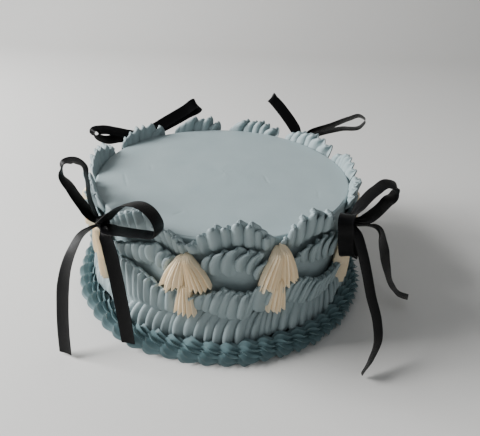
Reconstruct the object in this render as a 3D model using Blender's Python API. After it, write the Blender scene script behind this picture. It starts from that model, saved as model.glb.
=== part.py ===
"""A lambeth cake: one round iced cake with its piped frills, swags, shells, tassels and ribbon bows.

Lengths are in metres, Z is up, and the origin is the centre of the flat underside.
A place on the cake is given by an angle in degrees, counted from the front (-Y) towards +X,
a radius from the cake's axis and a height.
"""

import math

import bmesh
import bpy
import numpy as np

MM = 0.001

CAKE_RADIUS = 96 * MM
CAKE_HEIGHT = 87 * MM
RIM_ROUNDING = 3 * MM
CAKE_SIDES = 66
GAP = 0.3 * MM
WALL = CAKE_RADIUS + GAP

# The tassels stand where two panels of piping meet. The panels are uneven, as piped by eye.
TASSEL_ANGLES = (-55, -12.7, 19.8, 61.5, 84, 111, 146, 179, 210, 244, 278)
PANELS = len(TASSEL_ANGLES)

# Folds of each row in one panel, and shells in the border.
TOP_FRILL_FOLDS = 7
SECOND_FRILL_PETALS = 6
SWAG_FOLDS = 9
SHELLS = 54

# Height of each tassel's top in millimetres, and its size. Those under the front bows are lower.
TASSEL_TOPS = (74, 78.5, 83.5, 78.5, 80, 79.5, 80.5, 79, 81, 80, 80.5)
TASSEL_SIZES = (0.92, 1.0, 1.08, 1.05, 1.0, 0.97, 1.0, 1.0, 0.98, 1.0, 1.0)

RIBBON_WIDTH = 10 * MM
RIBBON_THICKNESS = 0.8 * MM

# Heights of each row of piping where it starts at a tassel and at the middle of its panel.
TOP_FRILL_FOOT = (79.5 * MM, 83.5 * MM)
TOP_FRILL_EDGE = (84.5 * MM, 98 * MM)
SECOND_FRILL_FOOT = (60 * MM, 65.5 * MM)
SECOND_FRILL_TIP = (78.5 * MM, 85 * MM)
UPPER_SWAG_EDGE = (57 * MM, 47.5 * MM)
UPPER_SWAG_FOOT = (37 * MM, 28 * MM)
LOWER_SWAG_FOOT = (20.5 * MM, 10.6 * MM)
SWAG_SPACING = 2.2 * MM

# Nothing under a tassel stands out further than this, and the tassel's back is just outside it.
FLAT_RADIUS = CAKE_RADIUS + 2.9 * MM
TASSEL_BACK = FLAT_RADIUS + GAP

ICING_BLUE = (0.330, 0.400, 0.410)
SHELL_TEAL = (0.190, 0.290, 0.305)
IVORY = (0.620, 0.520, 0.400)
RIBBON_BLACK = (0.010, 0.010, 0.012)


def empty_scene():
    for old in list(bpy.data.objects):
        bpy.data.objects.remove(old, do_unlink=True)


def buttercream(name, colour):
    """Buttercream icing: soft, slightly greasy, never shiny."""
    material = bpy.data.materials.new(name)
    material.use_nodes = True
    shader = material.node_tree.nodes["Principled BSDF"]
    shader.inputs["Base Color"].default_value = (*colour, 1)
    shader.inputs["Roughness"].default_value = 0.55
    shader.inputs["Metallic"].default_value = 0
    return material


def satin(name, colour):
    """Polyester satin ribbon: smooth, with a soft sheen."""
    material = buttercream(name, colour)
    material.node_tree.nodes["Principled BSDF"].inputs["Roughness"].default_value = 0.35
    return material


def place(angle, radius, height):
    """World coordinates of a place given by its angle, radius and height, as an array."""
    turn = np.radians(angle)
    return np.stack(np.broadcast_arrays(radius * np.sin(turn), -radius * np.cos(turn), height), axis=-1)


def add_solid(name, points, faces, material):
    """Make one closed mesh object with its faces pointing out."""
    mesh = bpy.data.meshes.new(name)
    mesh.from_pydata(np.asarray(points, float).tolist(), [], faces)
    work = bmesh.new()
    work.from_mesh(mesh)
    bmesh.ops.recalc_face_normals(work, faces=work.faces)
    bmesh.ops.triangulate(work, faces=[face for face in work.faces if len(face.verts) > 4])
    work.to_mesh(mesh)
    work.free()
    mesh.materials.append(material)
    solid = bpy.data.objects.new(name, mesh)
    bpy.context.scene.collection.objects.link(solid)
    return solid


def tube_faces(stations, corners, ring):
    """Triangles between successive cross-sections, with end caps unless the tube is a ring."""
    faces = []
    for station in range(stations if ring else stations - 1):
        ahead = (station + 1) % stations
        for corner in range(corners):
            beside = (corner + 1) % corners
            low, high = station * corners, ahead * corners
            faces.append((low + corner, low + beside, high + beside))
            faces.append((low + corner, high + beside, high + corner))
    if not ring:
        faces.append(tuple(range(corners)))
        faces.append(tuple((stations - 1) * corners + corner for corner in range(corners)))
    return faces


def swept_solid(name, sections, material, ring=False):
    """A solid through cross-sections that all have the same number of corners."""
    points = np.asarray(sections, float)
    stations, corners = points.shape[:2]
    return add_solid(name, points.reshape(-1, 3), tube_faces(stations, corners, ring), material)


def blend(ends_and_middle, arch):
    """A height that goes from its value at the tassels to its value at the middle of the panel."""
    at_tassel, at_middle = ends_and_middle
    return at_tassel + (at_middle - at_tassel) * arch


def smooth_step(value):
    value = min(max(value, 0.0), 1.0)
    return value * value * (3 - 2 * value)


def panel_angles(panel):
    """First and last angle of a panel of piping."""
    first = TASSEL_ANGLES[panel]
    last = TASSEL_ANGLES[(panel + 1) % PANELS]
    return first, last + (360 if last < first else 0)


def fold_stations(count, crest_place, seed, first=0.0, last=1.0):
    """Where along a panel each fold has its crease and its crest, and how far it swells.

    The folds are uneven by up to a quarter, and each crest sits at the same share of its fold.
    """
    draw = np.random.default_rng(seed)
    widths = 1 + 0.5 * (draw.random(count) - 0.5)
    edges = first + (last - first) * np.concatenate([[0], np.cumsum(widths) / widths.sum()])
    swells = 0.75 + 0.5 * draw.random(count)
    stations = []
    for fold in range(count):
        stations.append((edges[fold], 0.0))
        stations.append((edges[fold] + crest_place * (edges[fold + 1] - edges[fold]), swells[fold]))
    stations.append((edges[count], 0.0))
    return stations


def panel_sections(panel, stations, outline):
    """Cross-sections along a panel, each a list of (radius, height) corners.

    The outline depends on the distance to the nearer tassel in degrees, on the swell of the fold
    and on the arch, which goes from 0 at the tassels to 1 at the middle of the panel.
    """
    first, last = panel_angles(panel)
    sections = []
    for share, swell in stations:
        arch = math.sin(math.pi * share) ** 0.9 if 0 < share < 1 else 0.0
        away = min(share, 1 - share) * (last - first)
        corners = np.array(outline(away, swell, arch))
        sections.append(place(first + (last - first) * share, corners[:, 0], corners[:, 1]))
    return sections


def top_frill_outline(away, swell, arch):
    """The top frill stands up from the wall past the rim and leans out, deeply pleated."""
    body = smooth_step((away - 4.5) / 7)
    foot = blend(TOP_FRILL_FOOT, arch)
    edge = blend(TOP_FRILL_EDGE, arch) - 2.2 * MM * (1 - min(swell, 1)) * body
    edge_radius = WALL + 1.9 * MM + body * (2.6 + 3.8 * swell) * MM
    edge_thickness = 1.6 * MM + 0.5 * MM * body
    rim = min(CAKE_HEIGHT + 0.6 * MM, edge - 0.8 * MM)
    return [
        (WALL, foot),
        (WALL + 1.2 * MM + body * (0.8 + 1.0 * swell) * MM, foot + 3.6 * MM),
        (edge_radius, edge),
        (edge_radius - edge_thickness, edge),
        (WALL, rim),
    ]


def second_frill_outline(away, swell, arch):
    """The second frill is a row of upright petals with their tips in front of the top frill's foot."""
    body = smooth_step((away - 7.8) / 4)
    foot = blend(SECOND_FRILL_FOOT, arch) + 3 * MM * (1 - min(swell, 1))
    tip = blend(SECOND_FRILL_TIP, arch) - 4.5 * MM * (1 - min(swell, 1))
    tip_radius = FLAT_RADIUS - 0.2 * MM + body * (0.6 + 2.2 * swell) * MM
    return [
        (WALL, foot),
        (WALL + 1.0 * MM + (0.4 + body) * 1.6 * MM * swell, foot + 0.45 * (tip - foot)),
        (tip_radius, tip),
        (tip_radius - 1.3 * MM, tip),
        (WALL, blend(TOP_FRILL_FOOT, arch) - 0.6 * MM),
    ]


def upper_swag_outline(away, swell, arch):
    """The upper swag hangs in folds; its free top edge stands well off the wall."""
    body = smooth_step((away - 6.5) / 4)
    foot = blend(UPPER_SWAG_FOOT, arch)
    edge = blend(UPPER_SWAG_EDGE, arch)
    thin = FLAT_RADIUS - 0.2 * MM
    return [
        (WALL, foot),
        (thin + body * (1.0 + 1.8 * swell) * MM, foot - 1.3 * MM * swell * body),
        (thin + body * (0.6 + 2.9 * swell) * MM, 0.5 * (foot + edge)),
        (thin + body * (1.2 + 3.6 * swell) * MM, edge - 2 * MM * (1 - min(swell, 1))),
        (WALL, edge - 6 * MM),
    ]


def lower_swag_outline(away, swell, arch):
    """The lower swag starts right under the upper one and swells out over the shells."""
    body = smooth_step((away - 4) / 4.5)
    top = blend(UPPER_SWAG_FOOT, arch) - SWAG_SPACING
    foot = blend(LOWER_SWAG_FOOT, arch)
    thin = FLAT_RADIUS - 0.2 * MM
    return [
        (WALL, top),
        (thin + body * (0.4 + 1.6 * swell) * MM, top - 0.5 * MM),
        (thin + body * (1.2 + 2.6 * swell) * MM, 0.45 * top + 0.55 * foot),
        (thin + body * (1.4 + 2.4 * swell) * MM + 1.2 * MM * arch, foot + 1.4 * MM * (1 - min(swell, 1))),
        (WALL, foot + 2.0 * MM),
    ]


def make_iced_cake(material):
    """The cake itself: one solid drum with a rounded rim and a flat underside."""
    profile = [(CAKE_RADIUS, 0.0)]
    rounding_steps = 3
    for step in range(rounding_steps + 1):
        turn = 0.5 * math.pi * step / rounding_steps
        profile.append((CAKE_RADIUS - RIM_ROUNDING * (1 - math.cos(turn)),
                        CAKE_HEIGHT - RIM_ROUNDING * (1 - math.sin(turn))))
    points = []
    for radius, height in profile:
        points.extend(place(360 * np.arange(CAKE_SIDES) / CAKE_SIDES, radius, height))
    faces = []
    for level in range(len(profile) - 1):
        for side in range(CAKE_SIDES):
            beside = (side + 1) % CAKE_SIDES
            low, high = level * CAKE_SIDES, (level + 1) * CAKE_SIDES
            faces.append((low + side, low + beside, high + beside, high + side))
    faces.append(tuple(range(CAKE_SIDES)))
    faces.append(tuple(range((len(profile) - 1) * CAKE_SIDES, len(profile) * CAKE_SIDES)))
    return add_solid("iced_cake", points, faces, material)


def make_panel_rows(material):
    """Top frill, second frill and upper swag of every panel, each its own solid."""
    for panel in range(PANELS):
        number = f"{panel + 1:02d}"
        top = fold_stations(TOP_FRILL_FOLDS, 0.40, 100 + panel, 0.04, 0.96)
        swept_solid(f"top_frill_{number}", panel_sections(panel, top, top_frill_outline), material)
        second = fold_stations(SECOND_FRILL_PETALS, 0.45, 200 + panel, 0.06, 0.94)
        swept_solid(f"second_frill_{number}", panel_sections(panel, second, second_frill_outline), material)
        upper = fold_stations(SWAG_FOLDS, 0.35, 300 + panel, 0.02, 0.98)
        swept_solid(f"upper_swag_{number}", panel_sections(panel, upper, upper_swag_outline), material)


def make_lower_swags(material):
    """The lower swags meet behind the tassels, so together they are one ring round the cake."""
    sections = []
    for panel in range(PANELS):
        stations = fold_stations(SWAG_FOLDS, 0.35, 400 + panel)
        sections.extend(panel_sections(panel, stations[:-1], lower_swag_outline))
    return swept_solid("lower_swags", sections, material, ring=True)


def swag_depth(angle):
    """How low the swag hangs at an angle: 0 at a tassel, 1 at the middle of a panel."""
    for panel in range(PANELS):
        first, last = panel_angles(panel)
        turned = first + (angle - first) % 360
        if turned < last:
            return math.sin(math.pi * (turned - first) / (last - first))
    return 0.0


# Along each shell: share of its length, and how far it is swollen there.
SHELL_STATIONS = ((0.0, 0.66), (0.26, 1.0), (0.72, 0.86))
SHELL_RIDGE_ANGLES = np.radians([-14, 28, 72, 118])


def make_shell_border(material):
    """Star-tip shells round the foot: each swells to a ridged head, then narrows into the next."""
    pitch = 360 / SHELLS
    draw = np.random.default_rng(5)
    sections = []
    for shell in range(SHELLS):
        size = 0.94 + 0.12 * draw.random()
        for share, swell in SHELL_STATIONS:
            angle = (shell + share) * pitch
            depth = swag_depth(angle)
            radius = (7.2 - 0.6 * depth) * MM * swell * size
            centre = (108.3 + 1.5 * depth) * MM
            height = (6.5 - 0.5 * depth) * MM
            corners = [(WALL, 0.0), (centre + 0.45 * radius, 0.0)]
            for ridge in SHELL_RIDGE_ANGLES:
                corners.append((centre + radius * math.cos(ridge), height + radius * math.sin(ridge)))
            corners.append((WALL, 2 * MM))
            corners = np.array(corners)
            sections.append(place(angle, corners[:, 0], corners[:, 1]))
    return swept_solid("shell_border", sections, material, ring=True)


# A tassel's ridges fan out from its top: degrees from straight down, length, and whether the ray
# is a ridge (1), a groove (0) or the notch between two of its shells (-1).
TASSEL_RAYS = (
    (-52, 18 * MM, 1), (-36, 24.5 * MM, 0), (-22, 27 * MM, 1), (-14, 19 * MM, -1),
    (-9, 38 * MM, 1), (0, 45 * MM, 0), (8, 38 * MM, 1), (15, 18 * MM, -1),
    (23, 27 * MM, 1), (37, 25 * MM, 0), (53, 18.5 * MM, 1),
    (115, 3.4 * MM, 0), (180, 3.8 * MM, 1), (245, 3.4 * MM, 0),
)


def make_tassels(material):
    """Three flared star shells that spread from one point, left, right and straight down."""
    for tassel, angle in enumerate(TASSEL_ANGLES):
        draw = np.random.default_rng(600 + tassel)
        top, scale = TASSEL_TOPS[tassel] * MM, TASSEL_SIZES[tassel]
        rings = [[], [], [], []]
        for direction, length, ridge in TASSEL_RAYS:
            length = length * scale * (0.95 + 0.1 * draw.random())
            turn = math.radians(direction)
            raised = (1.1 * ridge + 0.3) * MM
            ray = ((0.38, 5.6 * MM + raised), (0.8, 4.2 * MM + raised), (1.0, 1.7 * MM), (1.0, 0.0))
            for ring, (share, thickness) in zip(rings, ray):
                across = share * length * math.sin(turn)
                down = share * length * math.cos(turn)
                radius = TASSEL_BACK + thickness
                ring.append(place(angle + math.degrees(across / TASSEL_BACK), radius, top - down))
        points = [place(angle, TASSEL_BACK + 6.5 * MM, top)]
        for ring in rings:
            points.extend(ring)
        points.append(place(angle, TASSEL_BACK, top))
        rays = len(TASSEL_RAYS)
        faces = []
        for ray in range(rays):
            beside = (ray + 1) % rays
            faces.append((0, 1 + ray, 1 + beside))
            for level in range(len(rings) - 1):
                inner, outer = 1 + level * rays, 1 + (level + 1) * rays
                faces.append((inner + ray, outer + ray, outer + beside))
                faces.append((inner + ray, outer + beside, inner + beside))
            last = 1 + (len(rings) - 1) * rays
            faces.append((last + ray, len(points) - 1, last + beside))
        add_solid(f"tassel_{tassel + 1:02d}", points, faces, material)


# Each bow: where its knot sits (angle, radius, height), then its ribbons. A ribbon is a route of
# (out, along, up) steps in millimetres from the knot, chosen by hand, then the direction of the
# ribbon's width at its start, half way and at its end. A loop starts and ends in the knot, where
# the ribbon is pinched narrow.
BOWS = {
    "bow_front_left": ((-47.6, 106 * MM, 82.3 * MM), {
        "left_loop": (
            [(-0.2, -1, 0), (2.4, -2.8, 2.1), (5, -10.3, 9.7), (6.8, -20.5, 18.3), (6.9, -30.4, 26),
             (3.5, -33.7, 30.6), (-2.5, -33.2, 31.3), (-5.4, -27.1, 29.1), (-3.2, -18.5, 23.8),
             (1.2, -8.4, 13.5), (-0.6, -2.1, -1.4)],
            [(-0.8, -0.58, 0.14), (-0.43, -0.9, 0.09), (-0.64, -0.58, -0.51)]),
        "right_loop": (
            [(0.4, 1.3, 0.6), (3.1, 13.1, 9.6), (2.4, 26.5, 21.9), (-1.1, 35.4, 28.7),
             (-4.3, 42.3, 29.9), (-6.8, 49.5, 27.3), (-8.2, 54.2, 21.2), (-8.5, 52, 12.7),
             (-4.6, 42.8, 10.1), (-0.7, 29.2, 6.5), (0.9, 13.6, 1.4), (-0.3, 1, -1.4)],
            [(0.98, -0.2, 0.09), (0.91, 0.39, 0.13), (0.78, 0.62, -0.06)]),
        "left_tail": (
            [(1.3, -1.2, -1.7), (5.3, -1, -1.6), (12.8, -1.1, -3.8), (20.6, 0.6, -10.6),
             (26.5, 1.7, -19.5), (31.7, 3.3, -32.1), (35.1, 4.6, -46.6), (38.4, 7.1, -62.6),
             (41.1, 10, -80.4)],
            [(0.15, 0.93, 0.32), (-0.39, 0.9, 0.19), (-0.39, 0.92, 0.06)]),
        "front_tail": (
            [(0.1, 1, -2), (2.3, 7.4, -1.8), (3.4, 13.1, -7.4), (4.3, 19.2, -21.5), (5.9, 26.1, -40),
             (6.8, 30.4, -56.1), (7.8, 34, -75.3)],
            [(-0.46, 0.37, 0.81), (-0.5, 0.43, 0.75), (-0.4, 0.52, 0.76)]),
    }),
    "bow_front_right": ((51.6, 107 * MM, 85.4 * MM), {
        "right_loop": (
            [(-0.6, 1, 2), (1.5, 6.1, 6.6), (3.1, 14.2, 11.4), (5.5, 23.3, 15.5), (9.5, 32, 18.4),
             (15, 36.5, 15.6), (15, 33.4, 11.4), (13.6, 24.6, 7.9), (11.4, 15.7, 3.9), (7.5, 5.6, 0.7),
             (0.1, 1.9, -0.5)],
            [(0.58, -0.8, -0.17), (0.5, -0.84, -0.2), (0.7, -0.7, -0.14)]),
        "left_loop": (
            [(-0.4, 0.4, 2.3), (1.5, -8, 8.4), (3.2, -14.6, 7), (4.6, -15.6, 1.6),
             (4.4, -11.6, -10.2), (5.3, -6.3, -22.4), (5.7, -2.3, -24.9), (4.4, -1.7, -15.2),
             (2.7, -1.5, -5.7), (0.2, 1.1, -0.9)],
            [(0.83, 0.53, 0), (0.83, 0.53, 0), (0.83, 0.53, 0)]),
        "near_tail": (
            [(1, 0.2, -0.9), (6.3, -2.9, -4.3), (13.7, -5.6, -14.6), (20.8, -8.4, -27.5),
             (28.6, -12.6, -41.7), (37.4, -17.4, -54.9), (42.2, -23.5, -64.1), (42.9, -31.7, -72.8),
             (41.9, -41.5, -79.2)],
            [(0.36, 0.89, -0.27), (0.36, 0.87, -0.33), (0.05, 1, -0.03)]),
        "far_tail": (
            [(0.2, 1, -2.4), (4, 5.8, -4.3), (9.3, 12.6, -6.5), (13.8, 21.4, -12.8),
             (17.4, 27.6, -26.9), (21.7, 36, -49.1), (27.6, 44.1, -69.2), (33.1, 47.3, -75.8),
             (39.4, 48.7, -76.2)],
            [(-0.25, 0.61, -0.75), (0.26, 0.96, 0.03), (-0.39, 0.9, -0.2)]),
    }),
    "bow_back_right": ((138.8, 109.6 * MM, 86 * MM), {
        "left_loop": (
            [(-1.8, -0.4, 0.7), (-1.2, 3.7, 3.4), (-0.6, 16.8, 15), (-0.3, 29.7, 24.9), (0.7, 38.6, 30),
             (4.4, 39.3, 27.7), (3.4, 26, 19.7), (0.5, 9.4, 8.3), (-1.8, 0.2, 0.5)],
            [(0.55, 0.45, 0.7), (0.79, 0.05, 0.6), (0.91, 0.03, 0.42)]),
        "right_loop": (
            [(0.5, 0, 1), (7.9, -7.7, 6.5), (15.5, -21.4, 14), (22, -34, 21.7), (25.9, -42.3, 25.3),
             (27, -47.3, 22.4), (24, -45.7, 17.6), (17.8, -29.7, 12.6), (9.9, -13.1, 6.1),
             (1, -0.9, 0.1)],
            [(0.75, -0.16, -0.64), (0.79, 0.26, -0.56), (0.64, 0.09, -0.76)]),
        "left_tail": (
            [(1, -1, -1.6), (7, 4, 0), (14, 8, -6), (19, 11, -22), (23, 13, -44), (26, 15, -68),
             (28, 17, -83)],
            [(0.3, 0.9, 0.2), (0.2, 0.95, 0.15), (0.1, 0.99, 0.1)]),
        "right_tail": (
            [(0, 1, -1.9), (6, -4, -1), (13, -8, -9), (17, -11, -28), (20, -14, -50), (23, -16, -68),
             (26, -17, -81)],
            [(0.3, -0.9, 0.2), (0.2, -0.95, 0.15), (0.1, -0.99, 0.1)]),
    }),
    "bow_back_left": ((-137, 109.6 * MM, 85.6 * MM), {
        "left_loop": (
            [(-0.8, 0.1, -0.1), (1.2, 9.4, 1.5), (5.9, 24, 6.7), (10, 34.7, 9.8), (10.9, 42.4, 9.4),
             (8.6, 43, 7), (5.9, 37, 2.3), (4.5, 24, 0.6), (2.4, 9.9, -0.7), (-1.8, -0.2, -1.8)],
            [(0.62, -0.28, 0.73), (0.85, -0.2, 0.45), (0.8, -0.25, 0.5)]),
        "right_loop": (
            [(-0.5, 0.9, 1), (-1, -8.8, 2.8), (-2.4, -26.3, 8.7), (-5.4, -44.5, 15.7),
             (-8.3, -56.4, 21), (-7.5, -58.9, 17.4), (-5.8, -45.3, 12.2), (-2, -19.5, 3.7),
             (-1.5, 0.6, -0.7)],
            [(0.72, 0.18, 0.67), (0.72, 0.18, 0.67), (0.72, 0.18, 0.67)]),
        "left_tail": (
            [(1, -1, -1.6), (6, 4, -1), (13, 8, -8), (17, 10, -26), (20, 12, -48), (23, 14, -68),
             (26, 15, -79)],
            [(0.3, 0.9, 0.2), (0.2, 0.95, 0.15), (0.1, 0.99, 0.1)]),
        "right_tail": (
            [(0, 1, -1.9), (7, -4, 0), (14, -8, -6), (18, -12, -22), (22, -14, -44), (25, -17, -66),
             (28, -18, -80)],
            [(0.3, -0.9, 0.2), (0.2, -0.95, 0.15), (0.1, -0.99, 0.1)]),
    }),
}

KNOT_SIZE = (8.6 * MM, 6.6 * MM, 8 * MM)
KNOT_MIDDLE = -1.3 * MM
PINCHED_SHARE = 0.4
PINCH_REACH = 12 * MM


def ribbon_sections(knot, route, width_directions):
    """Cross-sections of a flat ribbon along its route, each square to the way the ribbon runs."""
    angle, radius, height = knot
    axes = np.array([place(angle, 1.0, 0.0), place(angle + 90, 1.0, 0.0), (0.0, 0.0, 1.0)])
    steps = np.array(route, float) * MM
    points = place(angle, radius, height) + steps @ axes
    lengths = np.concatenate([[0], np.cumsum(np.linalg.norm(np.diff(points, axis=0), axis=1))])
    runs = np.gradient(points, axis=0)
    spread = np.clip(np.linalg.norm(steps, axis=1) / PINCH_REACH, 0, 1)
    half_widths = 0.5 * RIBBON_WIDTH * (PINCHED_SHARE + (1 - PINCHED_SHARE) * spread)
    sections = []
    for point, run, length, half_width in zip(points, runs, lengths, half_widths):
        share = length / lengths[-1]
        width = [np.interp(share, (0, 0.5, 1), component) for component in zip(*width_directions)]
        width = np.array(width) @ axes
        run = run / np.linalg.norm(run)
        width = width - run * (width @ run)
        width = width / np.linalg.norm(width)
        across = half_width * width
        through = 0.5 * RIBBON_THICKNESS * np.cross(run, width)
        sections.append([point - across - through, point + across - through,
                         point + across + through, point - across + through])
    return sections


def make_bow(name, knot, ribbons, material):
    """A bow of one ribbon: two loops and two tails joined in a knot."""
    angle, radius, height = knot
    deep, wide, tall = KNOT_SIZE
    corners = []
    for share, shrink in ((-0.5, 0.8), (-0.2, 1.0), (0.2, 1.0), (0.5, 0.8)):
        across = math.degrees(share * wide / radius)
        middle = radius + KNOT_MIDDLE
        half_deep, half_tall = 0.5 * deep, 0.5 * tall * shrink
        corners.append([place(angle + across, middle - half_deep, height - half_tall),
                        place(angle + across, middle + half_deep * shrink, height - half_tall),
                        place(angle + across, middle + half_deep * shrink, height + half_tall),
                        place(angle + across, middle - half_deep, height + half_tall)])
    bow = swept_solid(name, corners, material)
    strips = bpy.data.collections.new(name + "_ribbons")
    for part, (route, width_directions) in ribbons.items():
        strip = swept_solid(f"{name}_{part}", ribbon_sections(knot, route, width_directions), material)
        bpy.context.scene.collection.objects.unlink(strip)
        strips.objects.link(strip)
    join = bow.modifiers.new("join", "BOOLEAN")
    join.operation = "UNION"
    join.operand_type = "COLLECTION"
    join.collection = strips
    join.solver = "MANIFOLD"
    bpy.context.view_layer.update()
    joined = bpy.data.meshes.new_from_object(bow.evaluated_get(bpy.context.evaluated_depsgraph_get()))
    bow.modifiers.clear()
    bow.data = joined
    for strip in list(strips.objects):
        bpy.data.objects.remove(strip, do_unlink=True)
    bpy.data.collections.remove(strips)
    return bow


def main():
    empty_scene()
    icing = buttercream("blue_buttercream", ICING_BLUE)
    teal = buttercream("teal_buttercream", SHELL_TEAL)
    ivory = buttercream("ivory_buttercream", IVORY)
    black = satin("black_satin_ribbon", RIBBON_BLACK)
    make_iced_cake(icing)
    make_panel_rows(icing)
    make_lower_swags(icing)
    make_shell_border(teal)
    make_tassels(ivory)
    for name, (knot, ribbons) in BOWS.items():
        make_bow(name, knot, ribbons, black)


main()
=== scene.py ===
import math

import bpy
import numpy as np
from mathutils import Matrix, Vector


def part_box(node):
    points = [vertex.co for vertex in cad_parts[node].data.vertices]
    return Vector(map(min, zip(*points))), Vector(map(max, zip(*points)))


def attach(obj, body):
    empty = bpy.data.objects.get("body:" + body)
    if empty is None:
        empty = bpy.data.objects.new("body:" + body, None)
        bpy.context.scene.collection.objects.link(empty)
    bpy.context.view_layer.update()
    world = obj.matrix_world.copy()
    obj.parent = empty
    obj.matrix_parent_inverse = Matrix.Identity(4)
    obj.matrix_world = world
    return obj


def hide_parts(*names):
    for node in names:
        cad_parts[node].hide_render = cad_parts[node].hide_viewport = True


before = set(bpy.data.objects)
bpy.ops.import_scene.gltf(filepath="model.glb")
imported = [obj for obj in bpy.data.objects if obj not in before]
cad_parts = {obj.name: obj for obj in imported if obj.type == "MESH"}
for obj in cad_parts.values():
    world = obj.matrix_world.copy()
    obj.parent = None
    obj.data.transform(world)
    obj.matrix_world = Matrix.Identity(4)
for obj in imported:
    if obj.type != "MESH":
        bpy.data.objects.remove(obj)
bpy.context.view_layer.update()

bl_info = {
    "name": "Lambeth cake",
    "version": (1, 0, 0),
    "blender": (4, 5, 0),
    "location": "3D View > Sidebar > Lambeth cake",
    "description": "Dresses a round iced cake with piped frills, swags, shells, tassels and ribbon bows",
    "category": "Object",
}

MM = 0.001
CAKE_LOW, CAKE_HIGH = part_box("iced_cake")
CAKE_RADIUS = -CAKE_LOW.y
CAKE_HEIGHT = CAKE_HIGH.z
# The petals are piped on a cylinder just outside the cake's wall.
WALL = CAKE_RADIUS + 0.3 * MM

# A place on the cake is an angle in degrees, counted from the front (-Y) towards +X, a radius and a
# height. The tassels stand where two panels of piping meet.
TASSEL_ANGLES = (-55, -12.7, 19.8, 61.5, 84, 111, 146, 179, 210, 244, 278)
PANELS = len(TASSEL_ANGLES)
SHELLS = 54

# Height of each tassel's top and how far right of its angle it is piped, in millimetres, its size, how
# wide its fans spread, and the radius at which its back lies.
TASSEL_TOPS = (74, 78.5, 83.5, 74.5, 80, 79.5, 80.5, 79, 81, 80, 80.5)
TASSEL_SHIFTS = (0, -0.6, 1.6, 0, 0, 0.5, -0.5, 0, 0.6, 0, -0.5)
TASSEL_SIZES = (0.92, 1.0, 1.08, 1.05, 1.0, 0.97, 1.0, 1.0, 0.98, 1.0, 1.0)
TASSEL_SPREADS = (1.0, 1.2, 0.85, 1.0, 0.95, 1.05, 0.9, 1.0, 1.1, 0.95, 1.05)
TASSEL_BACK = CAKE_RADIUS + 3.2 * MM

# Waves that the palette knife left, with lengths for one radian of a sine. On top: the lengths outwards of
# the finer and the slower wave, and how many radians the finer one turns in a degree round the cake. On
# the wall: their depth, their number round the cake, their length upwards, and how high they reach full
# depth.
TOP_WAVES = (7 * MM, 19 * MM)
TOP_WAVE_TURN = 0.035
WALL_WAVE_DEPTH = 0.3 * MM
WALL_WAVES = 5
WALL_WAVE_LENGTH = 11 * MM
WALL_WAVE_START = 5 * MM

# Nicks that the palette knife left on top: middle x and y, direction in degrees from +X, length and
# depth, with lengths in millimetres. All are equally wide.
NICK_HALF_WIDTH = 0.9 * MM
SPATULA_NICKS = (
    (-72.5, -17.2, -74, 22, 0.2),
    (32.4, -10.6, -79, 13, 0.22),
    (-29.2, -64.8, 37, 7, 0.3),
    (68.4, -33.5, -98, 12, 0.14),
    (-58.7, 60.8, -116, 13, 0.14),
    (-57.1, 6.2, -76, 9, 0.16),
)


def length_property(name, description, default):
    """A length that the user can change, in metres."""
    return bpy.props.FloatProperty(name=name, description=description, default=default, unit="LENGTH")


class CakeSizes(bpy.types.PropertyGroup):
    """The cake and the rows of piping."""
    rim_rounding: length_property("Rim rounding", "Radius of the smoothed icing at the top edge", 1.4 * MM)
    spatula_relief: length_property(
        "Spatula marks", "Depth of the faint marks that the palette knife leaves", 0.25 * MM)
    frill_thickness: length_property(
        "Frill thickness", "Thickness of a frill just behind its free edge", 1.5 * MM)
    swag_thickness: length_property(
        "Swag thickness", "Thickness of a swag just behind its free edge", 1.7 * MM)


class RibbonSizes(bpy.types.PropertyGroup):
    """The satin ribbon of the bows."""
    width: length_property("Ribbon width", "Width of the satin ribbon", 10 * MM)
    thickness: length_property("Ribbon thickness", "Thickness of the satin ribbon", 0.36 * MM)
    cupping: length_property("Cupping", "How far the ribbon's edges curl out of its plane", 0.35 * MM)


def hex_linear(code):
    """Linear colour of an sRGB hex value, by the sRGB curve: a straight foot under a power of 2.4."""
    channels = np.array([int(code[start:start + 2], 16) for start in (1, 3, 5)]) / 255
    return np.where(channels <= 0.04045, channels / 12.92, ((channels + 0.055) / 1.055) ** 2.4)


def colour_property(name, description, code):
    """A colour that the user can change, with an sRGB hex value as its default."""
    return bpy.props.FloatVectorProperty(
        name=name, description=description, subtype="COLOR", size=3, min=0, max=1,
        default=[float(channel) for channel in hex_linear(code)])


class CakeColours(bpy.types.PropertyGroup):
    """Colours of the icing, the ribbon and the stage."""
    blue: colour_property("Blue icing", "Dusty blue buttercream of the cake, frills and swags", "#98a7a9")
    blue_deep: colour_property("Blue icing, deeper", "Where more colouring collected", "#8b9b9e")
    teal: colour_property("Shell icing", "Deeper teal buttercream of the shell border", "#6b8488")
    teal_deep: colour_property("Shell icing, deeper", "Where more colouring collected", "#62797d")
    ivory: colour_property("Ivory icing", "Ivory buttercream of the tassels", "#f6e6c9")
    ivory_deep: colour_property("Ivory icing, deeper", "Where the ivory is a little darker", "#ecd8b6")
    ribbon: colour_property("Ribbon", "Black polyester satin", "#050506")
    ribbon_edge: colour_property("Ribbon edge", "Selvedge threads of the ribbon", "#141417")
    floor: colour_property("Floor", "Plain pale studio floor", "#d6d5d2")


def place(angle, radius, height):
    """World coordinates of a place given by its angle, radius and height, as an array."""
    turn = np.radians(angle)
    return np.stack(np.broadcast_arrays(radius * np.sin(turn), -radius * np.cos(turn), height), axis=-1)


def smooth_step(value):
    """0 below 0, 1 above 1, and 3v^2 - 2v^3 between."""
    value = np.clip(value, 0, 1)
    return value * value * (3 - 2 * value)


def arch(heights, share):
    """Height at a share of a panel, by a power of a sine: at the tassels, at the middle, and the power."""
    at_tassel, at_middle, power = heights
    return at_tassel + (at_middle - at_tassel) * np.sin(np.pi * np.clip(share, 0, 1)) ** power


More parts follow.
